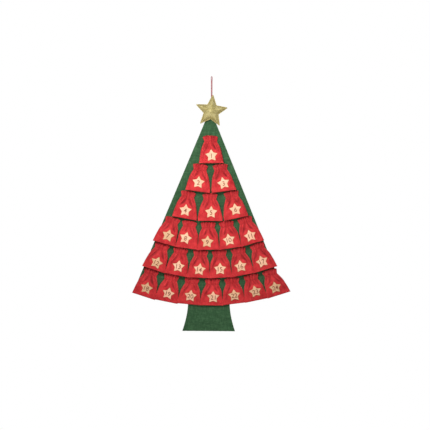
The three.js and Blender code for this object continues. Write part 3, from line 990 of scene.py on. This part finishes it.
def number_star(number, cream, ink, thread, drape):
    """A star on a bag, whose points the drape lays on the bag's front, with its stitches and its number."""
    back, right, up, normal = star_plane(number)

    def lay(flat, height):
        return drape(back + flat[:, :1] * right + flat[:, 1:] * up + np.reshape(height, (-1, 1)) * normal)

    outline = star_outline(LABEL_RADIUS, LABEL_NOTCH, LABEL_ROUNDING, 7, 7)
    rng = np.random.default_rng(900 + number)
    fray = waves(rng, 0.012)
    outline = outline * (1 + 0.012 * fray(*outline.T))[:, None]
    rings = [(0.985, 0.0), (1.0, 0.35 * LABEL_EDGE), (0.997, 0.75 * LABEL_EDGE), (0.975, LABEL_EDGE)]
    for share in (0.93, 0.87, 0.8, 0.7, 0.56, 0.4, 0.22):
        rings.append((share, label_height(share)))
    flat = [outline * share for share, height in rings] + [np.zeros((2, 2))]
    heights = [np.full(len(outline), height) for share, height in rings] + [[LABEL_EDGE + LABEL_CROWN, 0]]
    painted_shade_and_edges = [
        np.full(len(outline), 0.85 if share > 0.94 else 0.3 if share > 0.9 else 0.0) for share, height in rings
    ] + [[0, 0]]
    points = lay(np.vstack(flat), np.concatenate(heights))
    count = len(outline)
    faces = ring_faces(len(rings), count, flip=True)
    last = (len(rings) - 1) * count
    faces += [(last + (k + 1) % count, last + k, len(points) - 2) for k in range(count)]
    faces += [(k, (k + 1) % count, len(points) - 1) for k in range(count)]
    star = smooth_object(f"cream_star_{number:02d}", points, faces, cream)
    set_values(star.data, "painted_shade_and_edges", np.concatenate(painted_shade_and_edges))
    set_values(star.data, "tan", np.full(len(points), TAN_STARS.get(number, 0.0)))
    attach(star, f"bag_{number:02d}")
    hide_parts(f"number_star_{number:02d}")

    # Running stitches a little inside the edge
    line = np.vstack([outline, outline[:1]]) * LABEL_SEAM
    runs = stitch_runs(0, distances_along(line)[-1] - LABEL_STITCH, LABEL_STITCH, 1.7)
    paths = [lay(points_along(line, run), label_height(LABEL_SEAM)) for run in runs]
    name = f"star_stitches_{number:02d}"
    sew(name, paths, LABEL_THREAD, normal, thread, f"bag_{number:02d}")

    print_digits(number, lay, ink)


def print_digits(number, lay, ink):
    """A star's number, raised a little from its cloth."""
    text = bpy.data.curves.new(f"digits_{number:02d}", "FONT")
    text.body = str(number)
    text.size = 1
    text.offset = 0.006
    text.extrude = 0.5
    text.space_character = 0.98
    source = new_object("digits_source", text)
    bpy.context.view_layer.update()
    solid = bpy.data.meshes.new_from_object(source)
    bpy.data.objects.remove(source)
    co = positions(solid)
    low, high = co[:, :2].min(axis=0), co[:, :2].max(axis=0)
    figure = (co[:, :2] - (low + high) / 2) * (DIGIT_HEIGHT / (high - low)[1])
    figure[:, 1] -= DIGIT_DROP
    reach = np.hypot(figure[:, 0], figure[:, 1]) / (0.7 * LABEL_RADIUS)
    heights = label_height(reach) + np.where(co[:, 2] > 0, DIGIT_RELIEF, -DIGIT_RELIEF)
    shape = [tuple(face.vertices) for face in solid.polygons]
    digits = smooth_object(f"digits_{number:02d}", lay(figure, heights), shape, ink)
    digits.data.set_sharp_from_angle(angle=math.radians(40))
    bpy.data.meshes.remove(solid)
    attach(digits, f"bag_{number:02d}")


def label_height(share):
    """The height of a number star's front, at that share of the way from its middle to its edge."""
    return LABEL_EDGE + LABEL_CROWN * (1 - np.minimum(share / 0.975, 1) ** 3) ** 0.6


def stuffed_star(material):
    """The seam runs a little inside the star's edge, where both layers lie flat. Inside it the star is inflated."""
    outline = star_outline(PUFF_RADIUS, PUFF_NOTCH, STAR_ROUNDING, 5, STAR_EDGE_POINTS)[::-1]
    edge = star_outline(STAR_RADIUS, STAR_NOTCH, STAR_ROUNDING, 5, STAR_EDGE_POINTS)[::-1]
    flat, faces = fill_outline(outline, STAR_CELL)
    count, total = len(outline), len(flat)
    rise = SLACK_RISE * (1 - np.exp(-distance_to(outline, flat) / SLACK_RISE))
    rise[:count] = 0
    points = np.vstack([
        np.column_stack([flat[:, 0], -rise, flat[:, 1]]),
        np.column_stack([flat[count:, 0], rise[count:], flat[count:, 1]]),
    ])
    all_faces = faces + [tuple(v if v < count else v + total - count for v in face[::-1]) for face in faces]
    co = inflate(points, all_faces, material)
    co = co - co[:count].mean(axis=0)
    co[:, (0, 2)] *= tip_reach(outline) / tip_reach(co[:count, (0, 2)])
    co[:, 1] *= np.where(co[:, 1] < 0, STAR_FRONT_CROWN / -co[:, 1].min(), STAR_BACK_CROWN / co[:, 1].max())

    # The flat border outside the seam is a strip round the star, a little wavy
    rng = np.random.default_rng(77)
    curl = waves(rng, 0.03)
    seam, seam_y = co[:count, (0, 2)], co[:count, 1]
    rim = edge + 0.7 * (seam - outline)
    rim_y = 0.6 * seam_y + 0.9 * MM * curl(*edge.T)
    tucked = seam - 0.4 * (rim - seam)
    border = [
        (tucked, seam_y - 0.9 * MM), (rim, rim_y - 0.7 * MM), (rim, rim_y + 0.7 * MM), (tucked, seam_y + 0.9 * MM)
    ]
    rings = [np.column_stack([flat_ring[:, 0], y, flat_ring[:, 1]]) for flat_ring, y in border]
    base = len(co)
    for r in range(4):
        for k in range(count):
            following = (k + 1) % count
            a, b = base + r * count, base + (r + 1) % 4 * count
            all_faces.append((a + k, a + following, b + following, b + k))
    co = np.vstack([co, *rings])
    painted_shade_and_edges = np.zeros(len(co))
    painted_shade_and_edges[:count] = 1
    painted_shade_and_edges[base : base + count] = 0.8

    cos, sin = math.cos(STAR_TURN), math.sin(STAR_TURN)
    turned = np.column_stack([co[:, 0] * cos + co[:, 2] * sin, co[:, 1], -co[:, 0] * sin + co[:, 2] * cos])
    star = smooth_object("gold_star", turned + np.array(STAR_CENTRE), all_faces, material)
    set_values(star.data, "painted_shade_and_edges", painted_shade_and_edges)
    refine = star.modifiers.new("refine", "SUBSURF")
    refine.levels = refine.render_levels = 1
    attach(star, "tree")
    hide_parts("star_front_cover", "star_back_cover", "star_filling")


def tip_reach(outline):
    return np.sort(np.hypot(outline[:, 0], outline[:, 1]))[-10:].mean()


def inflate(points, faces, material):
    """Where the points of a closed cloth bag come to rest under pressure from inside."""
    cushion = smooth_object("cushion", points, faces, material)
    modifier = cushion.modifiers.new("stuffing", "CLOTH")
    for setting, value in {
        "quality": 8, "mass": 0.2, "tension_stiffness": 40, "compression_stiffness": 40, "shear_stiffness": 20,
        "bending_stiffness": 0.4, "use_pressure": True, "uniform_pressure_force": 9,
    }.items():
        setattr(modifier.settings, setting, value)
    modifier.settings.effector_weights.gravity = 0
    scene = bpy.context.scene
    modifier.point_cache.frame_start = 1
    modifier.point_cache.frame_end = INFLATE_FRAMES
    for number in range(1, INFLATE_FRAMES + 1):
        scene.frame_set(number)
    settled = bpy.data.meshes.new_from_object(cushion.evaluated_get(bpy.context.evaluated_depsgraph_get()))
    scene.frame_set(1)
    co = positions(settled)
    bpy.data.objects.remove(cushion)
    bpy.data.meshes.remove(settled)
    return co


set_up_view()
hanging_loop(thread_finish("red_cord", (138, 14, 28), (170, 30, 44), roughness=0.9, sheen=0))
felt_back = felt_tree(green_felt())
red = red_cotton()
cream = cream_cloth()
ink = printed_ink()
red_thread = thread_finish("red_thread", (150, 14, 24), (190, 30, 38))
cream_thread = thread_finish("cream_thread", (216, 178, 134), (240, 212, 176))
green_thread = thread_finish("green_thread", (44, 76, 48), (80, 120, 84))
for bag_number in range(1, 25):
    bag_seam(bag_number, felt_back, green_thread)
    drape = cloth_bag(bag_number, red, red_thread)
    number_star(bag_number, cream, ink, cream_thread, drape)
stuffed_star(gold_cloth())
